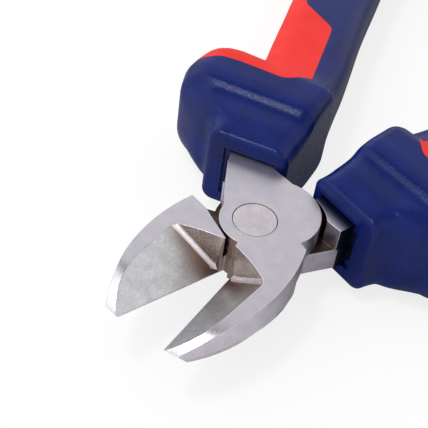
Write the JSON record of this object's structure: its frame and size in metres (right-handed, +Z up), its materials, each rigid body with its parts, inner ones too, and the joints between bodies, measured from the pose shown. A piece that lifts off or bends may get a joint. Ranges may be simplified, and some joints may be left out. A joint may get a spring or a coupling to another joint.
{
  "type": "diagonal cutting pliers",
  "caption": "Diagonal cutting pliers: two forged halves crossed in a riveted lap joint, bevelled jaws and two-component grips with finger guards.",
  "frame": {"origin": "centre of the flush rivet's lower face", "axes": "+Z up along the rivet, out of its upper face; jaws towards -Y, grips towards +Y"},
  "size_m": [0.1044, 0.1744, 0.0224],
  "materials": {
    "ground_steel": "satin ground and lacquered",
    "rivet_steel": "ground flush",
    "grip_plastic": "fine spark-eroded grain with a low gloss",
    "soft_inlay": "smooth matt soft-touch"
  },
  "bodies": {
    "lower_half": {"lower_jaw_half": "ground_steel", "rivet": "rivet_steel", "lower_grip_sleeve": "grip_plastic", "lower_grip_inlay": "soft_inlay"},
    "upper_half": {"upper_jaw_half": "ground_steel", "upper_grip_sleeve": "grip_plastic", "upper_grip_inlay": "soft_inlay"}
  },
  "joints": [
    {"name": "jaw_pivot", "type": "hinge", "parent": "lower_half", "child": "upper_half", "pos_m": [0, 0, 0], "axis": [0, 0, 1], "range_deg": [-18.2, 24]}
  ]
}
